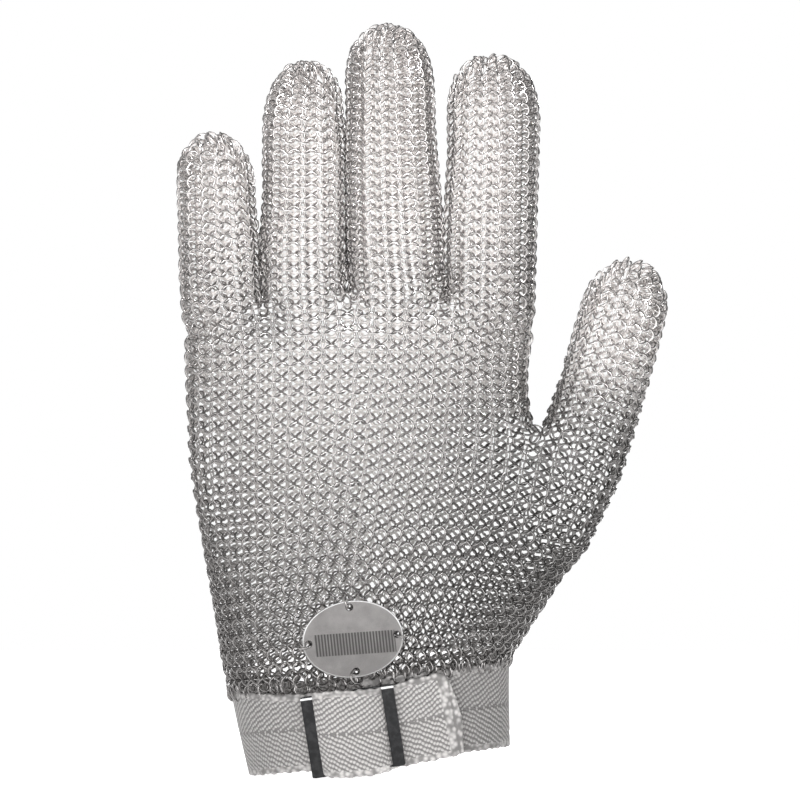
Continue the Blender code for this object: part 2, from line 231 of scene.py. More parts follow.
CAMERA_ACROSS = 5.43 * MM
CAMERA_UP = 95.4 * MM


# ---- settings ----
def length_prop(name, description, default, least=0.0):
    """A length, given in millimetres."""
    return FloatProperty(
        name=name, description=description, default=default * MM, min=least * MM, unit="LENGTH",
    )


def angle_prop(name, description, default):
    """An angle, given in degrees."""
    return FloatProperty(
        name=name, description=description, default=math.radians(default), unit="ROTATION",
    )


def colour_prop(name, description, *default):
    return FloatVectorProperty(
        name=name, description=description, default=default, subtype="COLOR",
    )


class GloveMailSettings(bpy.types.PropertyGroup):
    ring_radius: length_prop(
        "Ring radius", "From a ring's middle to the middle of its wire", 1.85, least=0.5,
    )
    wire: length_prop("Wire", "Radius of the ring wire", 0.31, least=0.1)
    even_lean: angle_prop("Even rows' lean", "How far the even rows stand up off the net", 25.0)
    odd_lean: angle_prop("Odd rows' lean", "How far the odd rows lie back in stretched mail", 35.0)
    looseness: angle_prop("Looseness", "Largest chance turn of a ring", 4.0)
    seed: IntProperty(name="Seed", description="Seed of the chance turns", default=11)
    # painted light and shade: the outer side is painted pale at the fingers and dark near the
    # wrist, and the inner side is painted paler still
    bright: colour_prop("Bright wire", "Outer side at the fingers", 0.62, 0.598, 0.590)
    worn: colour_prop("Shaded wire", "Outer side near the wrist", 0.255, 0.246, 0.242)
    inner_bright: colour_prop("Inner side", "Inner side at the fingers", 0.97, 0.945, 0.935)
    inner_worn: colour_prop("Shaded inner side", "Inner side near the wrist", 0.50, 0.486, 0.480)


class GloveStrapSettings(bpy.types.PropertyGroup):
    rib: length_prop("Rib pitch", "From rib to rib along the webbing's spine", 2.4, least=0.3)
    rib_slope: FloatProperty(
        name="Rib slope", description="How far a rib runs along for each step out", default=1.8,
    )
    grain: length_prop("Grain", "From thread to thread along a rib", 0.95, least=0.2)
    selvage: length_prop("Selvage", "Width of the looped edge", 1.7)
    edge_wave: length_prop("Edge wave", "How far the looped edge waves in and out", 0.16)
    yarn: colour_prop("Yarn", "Colour of the raised yarn", 0.62, 0.600, 0.590)
    # painted shade: the colour between the ribs stands for the shade in the hollows of the weave
    furrow: colour_prop("Furrow", "Colour between the ribs", 0.205, 0.198, 0.194)


class GloveSliderSettings(bpy.types.PropertyGroup):
    corner: length_prop("Corner", "Radius of the plate's outer corners", 0.9)
    edge: length_prop("Edge", "Width of the rounded edges", 0.38)
    metal: colour_prop("Metal", "Colour of the polished dark plate", 0.03, 0.03, 0.031)


class GloveTagSettings(bpy.types.PropertyGroup):
    edge: length_prop("Edge", "Width of the rounded rim", 0.22)
    stripe: length_prop("Stripe pitch", "From stripe to stripe in the block", 0.80, least=0.2)
    block_width: length_prop("Block width", "Width of the etched block", 21.4)
    block_height: length_prop("Block height", "Height of the etched block", 6.0)
    metal: colour_prop("Metal", "Colour of the satin plate", 0.195, 0.188, 0.185)


class GloveStageSettings(bpy.types.PropertyGroup):
    distance: length_prop("Camera distance", "From the camera to the glove", 3000.0)
    lens: FloatProperty(name="Lens", description="Focal length in millimetres", default=509.4)
    floor_glow: FloatProperty(
        name="Floor glow", description="Light of its own that keeps the floor white", default=0.85,
    )
    above: FloatProperty(name="Above", description="Light of the room high up", default=0.10)
    overhead: FloatProperty(name="Overhead", description="Light of the room overhead", default=1.3)
    level: FloatProperty(name="Level", description="Light of the room at eye level", default=1.0)
    below: FloatProperty(name="Below", description="Light of the room low down", default=1.0)


def settings(name):
    return getattr(bpy.context.scene, f"glove_{name}")


# ---- shader maths ----
class Value:
    """A socket that takes part in plain expressions; each one adds a Math node."""

    def __init__(self, graph, socket):
        self.graph, self.socket = graph, socket

    def _do(self, operation, *values):
        return self.graph.node("ShaderNodeMath", {"operation": operation}, *values)

    def __add__(self, other):
        return self._do("ADD", self, other)

    def __sub__(self, other):
        return self._do("SUBTRACT", self, other)

    def __rsub__(self, other):
        return self._do("SUBTRACT", other, self)

    def __mul__(self, other):
        return self._do("MULTIPLY", self, other)

    def __truediv__(self, other):
        return self._do("DIVIDE", self, other)

    def __rtruediv__(self, other):
        return self._do("DIVIDE", other, self)

    __radd__, __rmul__ = __add__, __mul__

    def power(self, other):
        return self._do("POWER", self, other)

    def absolute(self):
        return self._do("ABSOLUTE", self)

    def wave(self):
        """A sine that runs from 0 to 1."""
        return self._do("SINE", self) * 0.5 + 0.5

    def most(self, other):
        return self._do("MAXIMUM", self, other)

    def above(self, low, high):
        """0 below low and 1 above high, smooth between."""
        ease = {"interpolation_type": "SMOOTHSTEP"}
        return self.graph.node("ShaderNodeMapRange", ease, Value=self, From_Min=low, From_Max=high)

    def window(self, start, end):
        """1 in a stretch in millimetres and 0 outside it; start and end are pairs, or None."""
        inside = self.above(start[0] * MM, start[1] * MM) if start else 1.0
        return inside * (1.0 - self.above(end[0] * MM, end[1] * MM)) if end else inside

    def part(self, axis):
        """One coordinate of a vector."""
        return self.graph.node("ShaderNodeSeparateXYZ", {}, self, output=axis)


class Graph:
    """A node tree under construction. node() adds any node and returns one of its outputs.

    A value of None leaves its socket as it is.
    """

    def __init__(self, tree):
        self.tree = tree

    def node(self, kind, options=None, *values, output=0, **named):
        made = self.tree.nodes.new(kind)
        for option, value in (options or {}).items():
            if option == "stops":
                self.stops(made.color_ramp, value)
            else:
                setattr(made, option, value)
        named = {name.replace("_", " "): value for name, value in named.items()}
        for place, value in [*enumerate(values), *named.items()]:
            if value is not None:
                self.feed(made.inputs[place], value)
        return Value(self, made.outputs[output])

    def stops(self, ramp, stops):
        for _ in range(len(stops) - 2):
            ramp.elements.new(0.5)
        for element, (position, colour) in zip(ramp.elements, stops):
            element.position, element.color = position, (*colour, 1.0)

    def feed(self, socket, value):
        if isinstance(value, Value):
            self.tree.links.new(value.socket, socket)
        elif hasattr(socket.default_value, "__len__") and not hasattr(value, "__len__"):
            socket.default_value = [value] * len(socket.default_value)
        elif hasattr(value, "__len__") and len(value) == 3 and len(socket.default_value) == 4:
            socket.default_value = (*value, 1.0)
        else:
            socket.default_value = value

    def attribute(self, name, output="Vector"):
        return self.node("ShaderNodeAttribute", {"attribute_name": name}, output=output)

    def noise(self, vector, scale, detail=2.0, roughness=0.5):
        size = {"Scale": scale, "Detail": detail, "Roughness": roughness}
        return self.node("ShaderNodeTexNoise", {}, Vector=vector, **size)

    def blend(self, factor, first, second):
        """A mix of two colours, which are a Mix node's sockets 6 and 7 and its output 2."""
        colours = (*[None] * 5, first, second)
        return self.node("ShaderNodeMix", {"data_type": "RGBA"}, factor, *colours, output=2)

    def bump(self, height, strength, distance, **under):
        size = {"Strength": strength, "Distance": distance}
        return self.node("ShaderNodeBump", {}, Height=height, **size, **under)


class Shader(Graph):
    """A material under construction; constants go on its surface's own sockets."""

    def __init__(self, name, **constants):
        self.material = bpy.data.materials.new(name)
        self.material.use_nodes = True
        super().__init__(self.material.node_tree)
        self.set(**constants)

    def set(self, **sockets):
        for name, value in sockets.items():
            self.feed(self.tree.nodes["Principled BSDF"].inputs[name.replace("_", " ")], value)

    def place(self):
        return self.node("ShaderNodeTexCoord", output="Object")


def toned(colour, share):
    """A colour made darker or paler."""
    return tuple(part * share for part in colour)


# ---- finishes ----
# Patches of the mail in millimetres: where each one begins and is full, and where it starts to
# fade and is gone, across and up. The share says how much paler painted light makes it, in the
# first table, and how much darker painted shade makes it, in the second.
# painted light: the fingers and the thumb are painted paler
PAINTED_LIGHT_PATCHES = (
    (None, None, (126.0, 142.0), None, 0.05),  # the fingers
    ((44.0, 58.0), None, (84.0, 106.0), None, 0.29),  # the thumb
)
# painted shade: the heel of the thumb and the side beside the index finger are painted darker
PAINTED_SHADE_PATCHES = (
    ((10.0, 36.0), None, (24.0, 50.0), (80.0, 102.0), 0.30),  # the heel of the thumb
    ((31.0, 40.0), (43.0, 47.0), (112.0, 130.0), None, 0.22),  # beside the index finger
)
# The forks of the fingers, across and up, and how much painted shade darkens them.
CROTCHES = ((-30.0, 116.5, 0.30), (-11.0, 119.0, 0.08), (12.0, 124.0, 0.10))
CROTCH_REACH = (2.0, 11.0)
PALM_MIDDLE = -12.0
PALM_REACH = (6.0, 42.0)
PALM_TOP = (90.0, 112.0)
# the dark colour that painted shade blends towards
PAINTED_SHADE_COLOUR = (0.03, 0.03, 0.03)


def patches(across, up, rows):
    total = 0.0
    for across_in, across_out, up_in, up_out, share in rows:
        total = total + across.window(across_in, across_out) * up.window(up_in, up_out) * share
    return total


def mail_steel():
    """Polished wire with painted light and shade: pale at the fingers and darker near the wrist,
    and painted paler and satin inside.
    """
    mail = settings("mail")
    look = Shader("ring_wire", Metallic=1.0)
    place = look.place()
    wear, fine = look.noise(place, 140.0, 3.0), look.noise(place, 2600.0, 2.0)
    across, up = place.part(0), place.part(2)
    outward = look.attribute("outward")
    normal = look.node("ShaderNodeNewGeometry", output="Normal")
    dot = {"operation": "DOT_PRODUCT"}
    facing = look.node("ShaderNodeVectorMath", dot, outward, normal, output="Value")
    # the side of each wire that faces into the glove, which is painted paler below
    inner = 1.0 - facing.above(-0.35, 0.15)
    # painted light: the palm is painted paler along its middle than at its sides
    middle = 1.0 - (across - PALM_MIDDLE * MM).absolute().window(PALM_REACH, None)
    palm = (middle - 0.5) * up.window(None, PALM_TOP) * 0.24
    # painted light and shade: the colour is painted paler with height, from the wrist up to the
    # fingers, plus random tone from the noise
    rise = up / (200.0 * MM) + (wear - 0.5) * 0.12 + palm + patches(across, up, PAINTED_LIGHT_PATCHES)
    # painted shade: darker patches at the heel of the thumb, beside the index finger and in the
    # forks of the fingers
    soil_and_painted_shade = patches(across, up, PAINTED_SHADE_PATCHES)
    for x, z, share in CROTCHES:
        away = ((across - x * MM).power(2.0) + (up - z * MM).power(2.0)).power(0.5)
        soil_and_painted_shade = soil_and_painted_shade + away.window(None, CROTCH_REACH) * share
    # painted shade: links at the sides, where the way out points across, are painted darker
    flank_shade = outward.part(0).absolute().above(0.55, 0.95)
    outer_painted_shade = look.node("ShaderNodeValToRGB", {"stops": [
        (0.13, mail.worn), (0.42, toned(mail.worn, 1.4)),
        (0.65, toned(mail.bright, 0.72)), (0.84, mail.bright),
    ]}, rise)
    outer_painted_shade = look.blend(flank_shade * 0.55, outer_painted_shade, toned(mail.worn, 0.6))
    # painted light: the inner side is painted paler than the outer side
    inner_painted_light = look.node("ShaderNodeValToRGB", {"stops": [
        (0.13, mail.inner_worn), (0.42, toned(mail.inner_worn, 1.5)), (0.72, mail.inner_bright),
    ]}, rise)
    look.set(
        Base_Color=look.blend(soil_and_painted_shade, look.blend(inner, outer_painted_shade, inner_painted_light), PAINTED_SHADE_COLOUR),
        Roughness=0.17 + 0.12 * wear + 0.06 * fine + 0.5 * inner,
    )
    return look.material


# the colour of the painted highlight on the tag's rim
RIM_HIGHLIGHT_COLOUR = (0.75, 0.75, 0.75)
BLOCK_SHIFT = 0.5
BLOCK_TILT = 0.045
BLOCK_DROP = 1.2


def tag_steel():
    """Satin plate with a painted highlight on its rim, painted shade towards its bottom, and a
    block of plain etched stripes.
    """
    tag = settings("tag")
    look = Shader("satin_plate", Metallic=1.0)
    lay = look.attribute("lay")
    across, up = lay.part(0), lay.part(1)
    place = look.place()
    grain, cloud = look.noise(place, 5200.0, 3.0, 0.7), look.noise(place, 260.0, 3.0)
    oval = (across / (TAG_HALF_WIDTH * MM)).power(2.0) + (up / (TAG_HALF_HEIGHT * MM)).power(2.0)
    # painted highlight: a bright rim all round, strongest along the upper edge
    rim = oval.power(0.5).above(0.955, 0.985) * (0.25 + 0.75 * up.window((-1.0, 4.0), None))
    across = across - BLOCK_SHIFT * MM
    rise = up + across * BLOCK_TILT + BLOCK_DROP * MM
    block = (tag.block_height / 2.0 - rise.absolute()).window((0.0, 0.2), None)
    block = block * (tag.block_width / 2.0 - across.absolute()).window((0.0, 0.2), None)
    stripe = (across * (2.0 * math.pi / tag.stripe)).wave().above(0.25, 0.65) * block
    # painted shade: darker towards the bottom, with random tone from the noise
    tone_and_shade = (grain * 0.5 + cloud * 0.8 + up * 12.0).above(0.35, 1.05)
    satin = look.blend(tone_and_shade, toned(tag.metal, 0.72), toned(tag.metal, 1.15))
    etched = look.blend(stripe * 0.7 + block * 0.2, satin, toned(tag.metal, 0.3))
    look.set(
        Base_Color=look.blend(rim, etched, RIM_HIGHLIGHT_COLOUR),
        Roughness=0.36 + 0.12 * cloud + 0.10 * stripe,
        Normal=look.bump(grain - stripe * 1.5, 0.3, 0.05 * MM),
    )
    return look.material


# painted highlight: a bright streak along the plate's upper edge
HIGHLIGHT_STREAK = ((0.35, 0.6), (0.75, 1.1))  # below the plate's upper edge, in millimetres
HIGHLIGHT_STREAK_COLOUR = (0.9, 0.9, 0.9)


def slider_steel(top):
    """Polished dark plate, with a painted highlight streak along its upper edge, which is at top.
    """
    metal = settings("slider").metal
    look = Shader("dark_plate")
    place = look.place()
    # painted highlight: a bright, less metallic band just below the upper edge
    painted_highlight = (top * MM - look.attribute("lay").part(1)).window(*HIGHLIGHT_STREAK)
    wear, fine = look.noise(place, 700.0, 3.0), look.noise(place, 4200.0, 2.0)
    plain = look.blend(wear.above(0.4, 0.7), metal, toned(metal, 1.5))
    look.set(
        Base_Color=look.blend(painted_highlight, plain, HIGHLIGHT_STREAK_COLOUR),
        Metallic=1.0 - 0.7 * painted_highlight,
        Roughness=0.10 + 0.08 * wear + 0.03 * fine + 0.3 * painted_highlight,
        Normal=look.bump(fine, 0.04, 0.02 * MM),
    )
    return look.material


HEM_WIDTH = 5.4
HEM_GROOVE = 2.8
HEM_SLANT = 0.12
# painted shade: the webbing is painted darker from here on, in millimetres from the free end
WRIST_SHADE_FROM = (28.0, 66.0)


def white_webbing():
    """Woven white yarn: ribs run out from a spine to looped edges, with painted shade in the
    hollows between the ribs.
    """
    strap = settings("strap")
    look = Shader("herringbone_webbing", Sheen_Weight=0.15)
    run = look.attribute("run")
    along, out, edge = (run.part(axis) for axis in range(3))
    tail = look.attribute("tail", "Fac")
    place = look.place()
    sway, fibre = look.noise(place, 130.0, 2.0), look.noise(place, 5200.0, 3.0, 0.7)
    soil_and_painted_shade = look.noise(place, 70.0, 3.0)
    away = out.absolute()
    bent = sway * (1.8 * MM)
    rib = ((along - away * strap.rib_slope + bent) * (2.0 * math.pi / strap.rib)).wave()
    grain = strap.grain * math.hypot(strap.rib_slope, 1.0)
    thread = ((along * strap.rib_slope + away + bent) * (2.0 * math.pi / grain)).wave()
    weave = rib * (0.3 + 0.7 * thread)
    smooth = {"feature": "SMOOTH_F1"}
    knots = look.node("ShaderNodeTexVoronoi", smooth, Vector=place, Scale=820.0, Smoothness=0.6)
    # loops of yarn show along both edges and on the hem at the free end
    end = tail - out * HEM_SLANT
    hem = (HEM_WIDTH * MM - end).window((-0.3, 0.3), None)
    looped = (strap.selvage - edge).window((-0.2, 0.2), None).most(hem)
    groove = (end - HEM_GROOVE * MM).absolute().window(None, (0.1, 0.5))
    slack = 0.78 + 0.44 * look.noise(place, 420.0, 2.0)
    spine = away.window(None, (0.0, 0.8)) * (1.0 - looped)
    loops = (0.76 - knots * 0.9) * looped
    height = weave * slack * (1.0 - looped) + loops - groove * 0.2 - spine * 0.35
    # painted shade: the part that lies next to the wrist is painted darker than the free end
    wrist_shade = tail.window(WRIST_SHADE_FROM, None)
    raised = look.blend(wrist_shade, strap.yarn, toned(strap.yarn, 0.68))
    raised = look.blend(soil_and_painted_shade.above(0.45, 0.8) * 0.35, raised, toned(strap.yarn, 0.6))
    sunk_shade = look.blend(wrist_shade, strap.furrow, toned(strap.furrow, 0.76))
    # painted shade: the lower the weave's height, the darker its colour, so the hollows between
    # ribs and loops, the hem's groove and the spine are painted darker
    look.set(
        Base_Color=look.blend(height.above(0.03, 0.62), sunk_shade, raised),
        Roughness=0.82 + 0.1 * fibre,
        Normal=look.bump(fibre, 0.35, 0.10 * MM, Normal=look.bump(height, 0.9, 0.34 * MM)),
    )
    return look.material


# ---- shared making ----
def new_piece(name, mesh, finish=None):
    obj = bpy.data.objects.new(name, mesh)
    bpy.context.scene.collection.objects.link(obj)
    if finish:
        mesh.materials.append(finish)
    return obj


def applied(obj):
    """The object with its modifiers made real."""
    depsgraph = bpy.context.evaluated_depsgraph_get()
    mesh = bpy.data.meshes.new_from_object(obj.evaluated_get(depsgraph), depsgraph=depsgraph)
    obj.modifiers.clear()
    old = obj.data
    obj.data = mesh
    bpy.data.meshes.remove(old)
    return obj


def store(mesh, name, kind, values):
    """Keeps a value at each point for a material or a node tree to read."""
    data = mesh.attributes.new(name, kind, "POINT").data
    field = "vector" if kind == "FLOAT_VECTOR" else "value"
    data.foreach_set(field, np.asarray(values, dtype=np.float32).ravel())


def superellipse(angle, half_width, half_depth):
    power = 2.0 / SQUARENESS
    across = math.copysign(abs(math.cos(angle)) ** power, math.cos(angle))
    along = math.copysign(abs(math.sin(angle)) ** power, math.sin(angle))
    return half_width * across, half_depth * along


def level_point(angle, lift, height):
    """A point on the strap's loop in millimetres, before the loop is tilted."""
    grow = lift + STRAP_FLARE * height
    return Vector((*superellipse(angle, STRAP_HALF_WIDTH + grow, STRAP_HALF_DEPTH + grow), height))


def wrist_point(angle, lift, height):
    """A point on the strap's loop in millimetres, turned with the wrist opening."""
    return Matrix.Rotation(-STRAP_TILT, 3, "Y") @ level_point(angle, lift, height)


def front_angle(across):
    share = math.copysign(abs(across / STRAP_HALF_WIDTH) ** (SQUARENESS / 2.0), across)
    return -math.acos(share)


def thicken(bm, depth):
    """Gives a flat sheet in the plane of x and z its thickness, towards +y."""
    pushed = bmesh.ops.extrude_face_region(bm, geom=bm.faces[:])["geom"]
    back = [v for v in pushed if isinstance(v, bmesh.types.BMVert)]
    bmesh.ops.translate(bm, verts=back, vec=(0.0, depth, 0.0))


def plate(name, bm, finish, place, edge, segments):
    """A metal plate from a bmesh in millimetres, with rolled edges. Its "lay" is its own plane."""
    lay = [(v.co.x * MM, v.co.z * MM, v.co.y * MM) for v in bm.verts]
    bmesh.ops.transform(bm, matrix=place, verts=bm.verts)
    bmesh.ops.transform(bm, matrix=Matrix.Diagonal((MM, MM, MM, 1.0)), verts=bm.verts)
    bmesh.ops.recalc_face_normals(bm, faces=bm.faces)
    mesh = bpy.data.meshes.new(name)
    bm.to_mesh(mesh)
    bm.free()
    mesh.shade_smooth()
    store(mesh, "lay", "FLOAT_VECTOR", lay)
    piece = new_piece(name, mesh, finish)
    bevel = piece.modifiers.new("rounded", "BEVEL")
    bevel.width, bevel.segments = edge, segments
    bevel.limit_method, bevel.angle_limit = "ANGLE", math.radians(40.0)
    bevel.harden_normals = True
    return applied(piece)


# ---- the net ----
class Tube:
    def __init__(self, row, tubes):
        for name, value in zip(TUBE_COLUMNS, row):
            setattr(self, name, value)
        self.parent = tubes.get(self.parent)
        self.children = []
        if self.parent:
            self.parent.children.append(self)

    def stall(self):
        """The finger that the tube belongs to, or None for the hand."""
        return None if self.name in ("hand", "palm") else self.name.removesuffix("_tip")

    def capped(self):
        """The columns that end at the tube's top row."""
        going_on = {x for child in self.children for x in range(child.first, child.last)}
        return [x for x in range(self.first, self.last) if x not in going_on]

    def loop(self):
        """The columns round the tube, from the front's left corner, as (column, side)."""
        front = [(x, 0) for x in range(self.first, self.last + 1)]
        back = [(x, 2) for x in range(self.last, self.first - 1, -1)]
        return front + [(self.last, 1)] + back + [(self.first, 1)]

    def knot(self, column, side, row):
        """A knot's name. A tube's first row belongs to the tube that it grows from."""
        tube = self
        while row == tube.foot and tube.parent:
            tube = tube.parent
        return (tube.name, column, side, row)


def fall(x):
    """How far a row has dropped below its crest."""
    away = x - CREST
    return (LEFT_FALL if away < 0.0 else RIGHT_FALL) * away * away


def tree_of(*names):
    """A search tree over CAD nodes' walls."""
    points, faces = [], []
    for name in names:
        mesh = frame["nodes"][name].data
        base = len(points)
        points += [v.co.copy() for v in mesh.vertices]
        faces += [[base + i for i in p.vertices] for p in mesh.polygons]
    return BVHTree.FromPolygons(points, faces)


def wall_middle(tree, start, direction, reach):
    """The middle of the wall first met on a ray, or None."""
    hit, normal, _, _ = tree.ray_cast(start, direction, reach)
    if hit is None or abs(normal.dot(direction)) < GRAZING:
        return None
    return hit - normal * (MAIL_WALL / 2.0)


def loop_angles():
    return [math.pi + 2.0 * math.pi * k / SECTION_POINTS for k in range(SECTION_POINTS)]


def section_loop(tree, centre_at, across, reach):
    """Wall points round a tube; centre_at gives the ray's start for a direction."""
    found = []
    for angle in loop_angles():
        direction = across * math.cos(angle) + Vector((0.0, 1.0, 0.0)) * math.sin(angle)
        start = centre_at(direction)
        point = wall_middle(tree, start, direction, reach)
        found.append(point if point is not None else start + direction * reach)
    return found


def share_out(points, columns):
    """Knots evenly round a closed line that starts at its left end: half in front, half behind."""
    knots = []
    half = len(points) // 2
    for part in (points[: half + 1], points[half:] + points[:1]):
        line = np.array([tuple(p) for p in part])
        run = np.concatenate(([0.0], np.cumsum(np.linalg.norm(np.diff(line, axis=0), axis=1))))
        share = np.arange(columns + 2) / (columns + 2)
        # the knots start a little closer together over the middle of each side
        share = share + MIDDLE_CROWDING * np.sin(2.0 * math.pi * share)
        for w in share * run[-1]:
            knots.append(Vector([np.interp(w, run, line[:, a]) for a in range(3)]))
    # knots start at the left end, which is the loop's last place
    return knots[1:] + knots[:1]


class Net:
    """Knots, quads and the frames that the links stand in."""

    def __init__(self):
        self.tubes = {}
        for row in TUBES:
            self.tubes[row[0]] = Tube(row, self.tubes)
        self.index, self.points, self.pinned, self.home = {}, [], [], []
        hand = ("mail_hand", "mail_knuckles")
        self.trees = dict.fromkeys(("hand", "palm"), tree_of(*hand))
        for name in ("thumb", "little", "ring", "middle", "index"):
            self.trees[name] = self.trees[f"{name}_tip"] = tree_of(f"mail_{name}", *hand)
        for tube in self.tubes.values():
            self.lay(tube)
        self.join()

    def put(self, key, point, pinned=False):
        if key not in self.index:
            self.index[key] = len(self.points)
            self.points.append(point)
            self.pinned.append(pinned)
            self.home.append(key[0])

    def lay(self, tube):
        """Puts a tube's knots, and those that close it in a crotch or at a tip."""
        first = tube.foot if tube.parent is None else tube.foot + 1
        for row in range(first, tube.top + 1):
            for (column, side), point in zip(tube.loop(), self.row_places(tube, row)):
                self.put(tube.knot(column, side, row), point, row == 0)
        if tube.parent:
            for column in (tube.first, tube.last):
                self.bridge(tube.parent, column, tube.foot, CROTCH_RISE)
        if not tube.children:
            for column in range(tube.first + 1, tube.last):
                self.bridge(tube, column, tube.top, TIP_RISE)

    def bridge(self, tube, column, row, rise):
        """A knot half way between the front and the back."""
        key = tube.knot(column, 1, row)
        if key not in self.index:
            ends = [self.points[self.index[tube.knot(column, side, row)]] for side in (0, 2)]
            self.put(key, (ends[0] + ends[1]) / 2.0 + Vector((0.0, 0.0, rise)))

    def row_places(self, tube, row):
        """A row's places, shared out evenly round its tube. The first row follows the strap."""
        if row == 0:
            points = [wrist_point(angle, *FIRST_ROW) * MM for angle in loop_angles()]
        elif tube.stall():
            points = self.stall_section(tube, row)
        else:
            points = self.hand_section(tube, row)
        return share_out(points, tube.last - tube.first)

    def hand_section(self, tube, row):
        """A section of the hand that falls away to both sides."""
        middle = HAND_MIDDLES[tube.name]
        share = (row - tube.foot) / (tube.top - tube.foot)

        def centre_at(direction):
            x = middle + direction.x * HAND_HALF_WIDTH
            crotch = THUMB_CROTCH - fall(x)
            if tube.name == "palm":
                return Vector((middle, 0.0, crotch + (FINGER_FORKS - THUMB_CROTCH) * share))
            low = HAND_FOOT + x * math.tan(STRAP_TILT)
            return Vector((middle, 0.0, low + (crotch - low) * share))

        return section_loop(self.trees[tube.name], centre_at, Vector((1.0, 0.0, 0.0)), HAND_REACH)

    def stall_section(self, tube, row):
        """A section square to a finger or to the leaning thumb."""
        name = tube.stall()
        if name == "thumb":
            up = Vector((math.sin(THUMB_LEAN), 0.0, math.cos(THUMB_LEAN)))
            foot, length, reach = Vector(THUMB_FOOT) * MM, THUMB_LENGTH, THUMB_REACH
        else:
            low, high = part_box(f"mail_{name}")
            x = (low.x + high.x) / 2.0
            up = Vector((0.0, 0.0, 1.0))
            foot = Vector((x, 1.5 * MM, FINGER_FORKS - fall(x)))
            length, reach = high.z - foot.z - STALL_MARGIN, (high.x - low.x - MAIL_WALL) / 2.0
        bottom, top = self.tubes[name].foot, self.tubes[f"{name}_tip"].top
        share = (row - bottom) / (top - bottom)
        centre = foot + up * (length * (share + TIP_CROWDING * share * (1.0 - share)))
        across = Vector((up.z, 0.0, -up.x))
        return section_loop(self.trees[tube.name], lambda direction: centre, across, reach)

    def join(self):
        """Quads as four knots, counter-clockwise seen from outside."""
        self.quads, self.quad_tube = [], []
        for tube in self.tubes.values():
            loop = tube.loop()
            places = []
            for row in range(tube.foot, tube.top):
                up = row + 1
                for here, there in zip(loop, loop[1:] + loop[:1]):
                    places.append(((*here, row), (*there, row), (*there, up), (*here, up)))
            for left in tube.capped():
                for side in (0, 1):
                    ring = ((left, side), (left + 1, side), (left + 1, side + 1), (left, side + 1))
                    places.append([(*corner, tube.top) for corner in ring])
            self.quads += [[self.index[tube.knot(*corner)] for corner in quad] for quad in places]
            self.quad_tube += [tube.name] * len(places)
        self.quads = np.array(self.quads)
        self.points = np.array([tuple(p) for p in self.points])

    def frames(self):
        """Row direction, climb and outward normal at each quad."""
        a, b, c, d = (self.points[self.quads[:, k]] for k in range(4))
        u = (b - a) + (c - d)
        v = (d - a) + (c - b)
        return u / 2.0, v / 2.0, np.cross(u, v)

    def knot_frames(self):
        """The mean of the frames of the quads round each knot."""
        u, v, n = self.frames()
        total = np.zeros((3, len(self.points), 3))
        count = np.zeros(len(self.points))
        for corner in range(4):
            for k, part in enumerate((u, v, unit(n))):
                np.add.at(total[k], self.quads[:, corner], part)
            np.add.at(count, self.quads[:, corner], 1.0)
        return [part / count[:, None] for part in total]

    def couples(self):
        """Front and back knots of one place."""
        pairs = []
        for tube in self.tubes.values():
            for row in range(tube.foot + 1, tube.top + 1):
                for column in range(tube.first + 1, tube.last):
                    pairs.append([self.index[tube.knot(column, side, row)] for side in (0, 2)])
        return np.array(pairs)

    def relax(self):
        """Draws the edges towards their rest lengths, with the knots on the walls."""
        edges = {}
        for quad in self.quads.tolist():
            for k in range(4):
                edges.setdefault(tuple(sorted((quad[k], quad[(k + 1) % 4]))), k % 2 == 0)
        pairs = np.array(list(edges))
        rest = np.array([ROW_REST if along else CLIMB_REST for along in edges.values()])
        degree = np.bincount(pairs.ravel(), minlength=len(self.points))[:, None]
        pinned = np.array(self.pinned)
        front, back = self.couples().T
        for _ in range(RELAX_ROUNDS):
            apart = self.knot_frames()[1][front] * BACK_RISE
            for _ in range(RELAX_STEPS):
                gap = self.points[pairs[:, 1]] - self.points[pairs[:, 0]]
                length = np.linalg.norm(gap, axis=1)
                pull = gap * ((length - rest) / np.maximum(length, 1e-6))[:, None] * 0.5
                move = np.zeros_like(self.points)
                np.add.at(move, pairs[:, 0], pull)
                np.add.at(move, pairs[:, 1], -pull)
                move /= degree
                # the back's wires are kept behind the front's holes
                astray = (self.points[back] - self.points[front] - apart) * BACK_HOLD
                np.add.at(move, front, astray)
                np.add.at(move, back, -astray)
                move[pinned] = 0.0
                self.points += move * EASE
            self.settle()

    def settle(self):
        """Brings each knot back to the middle of the wall."""
        normals = unit(self.knot_frames()[2])
        for k, home in enumerate(self.home):
            if self.pinned[k]:
                continue
            normal, here = Vector(normals[k]), Vector(self.points[k])
            ways = []
            for side in (-1.0, 1.0):
                start = here + normal * (WALL_REACH * side)
                point = wall_middle(self.trees[home], start, -normal * side, 2.0 * WALL_REACH)
                if point is not None:
                    ways.append((point - here).dot(normal))
            if ways:
                self.points[k] += np.array(normal) * min(ways, key=abs)

    def swell(self):
        """The fingers widen on the sides where they lean on each other."""
        for stall, side, full, none, width in SWELLINGS:
            low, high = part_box(f"mail_{stall}")
            middle, half = (low.x + high.x) / 2.0, (high.x - low.x) / 2.0
            for k, home in enumerate(self.home):
                if self.tubes[home].stall() != stall:
                    continue
                out = min(1.0, max(0.0, side * (self.points[k][0] - middle) / half))
                fade = min(1.0, max(0.0, (none - self.points[k][2] / MM) / (none - full)))
                self.points[k][0] += side * width * MM * out * fade


def unit(vectors):
    return vectors / np.maximum(np.linalg.norm(vectors, axis=1, keepdims=True), 1e-12)


def turn_of(x, y, z):
    """The quaternion of a link whose own axes point these ways."""
    return tuple(Matrix((x, y, z)).transposed().to_quaternion())


